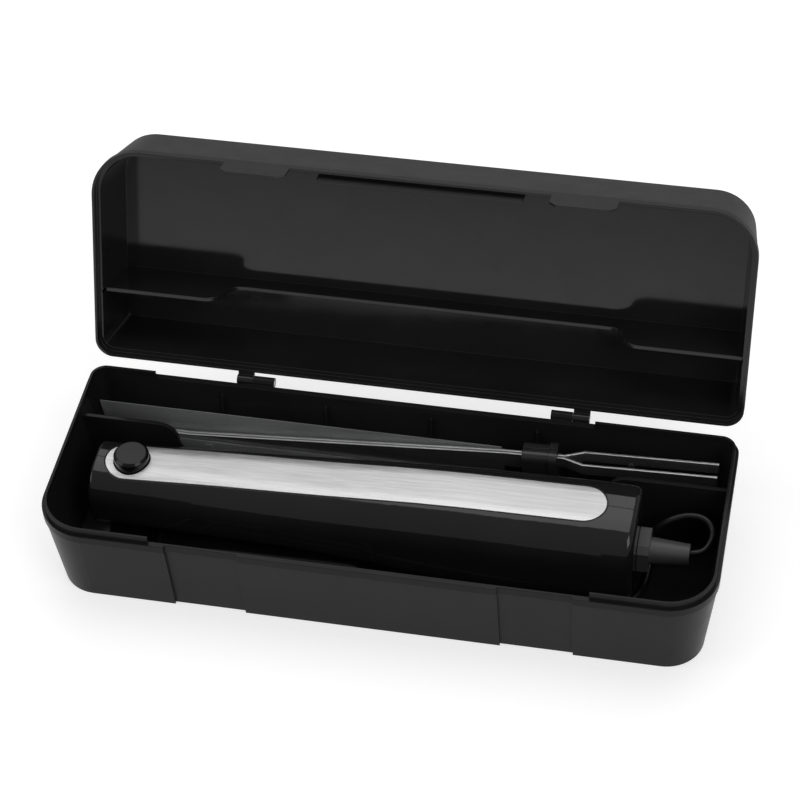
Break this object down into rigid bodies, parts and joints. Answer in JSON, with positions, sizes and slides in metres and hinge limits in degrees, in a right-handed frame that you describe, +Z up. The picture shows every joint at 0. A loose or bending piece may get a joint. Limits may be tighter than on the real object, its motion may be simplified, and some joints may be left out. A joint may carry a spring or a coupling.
{
  "type": "electric carving knife set",
  "caption": "Electric carving knife in its open storage case: motor handle with power button, paired serrated blades with collar and tangs, blade sleeve and mains cord",
  "frame": {"origin": "centre of the tub's flat underside", "axes": "+X along the case towards the cord end, +Y towards the hinges, +Z up"},
  "size_m": [0.325, 0.1888, 0.1583],
  "materials": {
    "case_plastic": "gloss",
    "housing_plastic": "gloss",
    "trim_metal": "brushed",
    "button_plastic": "matte",
    "blade_steel": "brushed",
    "collar_plastic": "matte",
    "sleeve_film": "clear",
    "cord_rubber": "matte",
    "contact_brass": "polished",
    "machine_steel": "machined",
    "lamination_iron": "matte",
    "winding_copper": "enamelled",
    "inner_plastic": "matte",
    "brush_carbon": "matte"
  },
  "bodies": {
    "case": {"blade_near": "blade_steel", "blade_rivet": "blade_steel", "blade_sleeve": "sleeve_film", "brush_holders": "contact_brass", "brush_springs": "machine_steel", "button_spring": "machine_steel", "carbon_brushes": "brush_carbon", "carrier_guide": "inner_plastic", "case_tub": "case_plastic", "collar_near": "collar_plastic", "cord_boot": "cord_rubber", "cord_hank": "cord_rubber", "cord_lead": "cord_rubber", "cord_tail": "cord_rubber", "cord_tie": "cord_rubber", "field_coils": "winding_copper", "field_core": "lamination_iron", "front_bearings": "contact_brass", "gear_frame": "inner_plastic", "hinge_pins": "machine_steel", "housing_left": "housing_plastic", "housing_right": "housing_plastic", "housing_screws": "machine_steel", "motor_bracket": "inner_plastic", "motor_screws": "machine_steel", "plug_body": "cord_rubber", "plug_pins": "machine_steel", "rear_bearing": "contact_brass", "release_spring": "machine_steel", "suppressor_capacitor": "inner_plastic", "switch_body": "inner_plastic", "trim_strip": "trim_metal", "wheel_axle": "machine_steel"},
    "lid": {"case_lid": "case_plastic"},
    "button": {"power_button": "button_plastic"},
    "release": {"release_button": "button_plastic"},
    "rotor": {"rotor_shaft": "machine_steel", "armature_core": "lamination_iron", "armature_windings": "winding_copper", "commutator": "contact_brass", "cooling_fan": "inner_plastic"},
    "wheel": {"worm_wheel": "inner_plastic"},
    "near_carrier": {"carrier_near": "inner_plastic"},
    "far_carrier": {"carrier_far": "inner_plastic"},
    "far_blade": {"blade_far": "blade_steel", "collar_far": "collar_plastic"}
  },
  "joints": [
    {"name": "lid_hinge", "type": "hinge", "parent": "case", "child": "lid", "pos_m": [0, 0.0593, 0.0466], "axis": [1, 0, 0], "range_deg": [0, 109.65]},
    {"name": "power_press", "type": "slide", "parent": "case", "child": "button", "axis": [0, 0, -1], "range_m": [0, 0.003], "stiffness_N_per_m": 400, "springref_m": -0.003, "deforming": ["button_spring"]},
    {"name": "release_press", "type": "slide", "parent": "case", "child": "release", "axis": [0, 0, 1], "range_m": [0, 0.0016], "stiffness_N_per_m": 400, "springref_m": -0.003, "deforming": ["release_spring"]},
    {"name": "rotor_spin", "type": "hinge", "parent": "case", "child": "rotor", "pos_m": [0.043, -0.003, 0.0256], "axis": [1, 0, 0], "continuous": true},
    {"name": "wheel_spin", "type": "hinge", "parent": "case", "child": "wheel", "pos_m": [-0.08, -0.003, 0.0364], "axis": [0, 1, 0], "continuous": true},
    {"name": "near_carrier_slide", "type": "slide", "parent": "case", "child": "near_carrier", "axis": [1, 0, 0], "range_m": [-0.003, 0.003]},
    {"name": "far_carrier_slide", "type": "slide", "parent": "case", "child": "far_carrier", "axis": [1, 0, 0], "range_m": [-0.003, 0.003]},
    {"name": "blade_slide", "type": "slide", "parent": "case", "child": "far_blade", "axis": [0.9993, 0, 0.0366], "range_m": [-0.0056, 0.0002]}
  ],
  "couplings": [
    {"joint": "wheel_spin", "follows": "rotor_spin", "ratio": 0.05},
    {"joint": "far_carrier_slide", "follows": "near_carrier_slide", "ratio": -1}
  ]
}
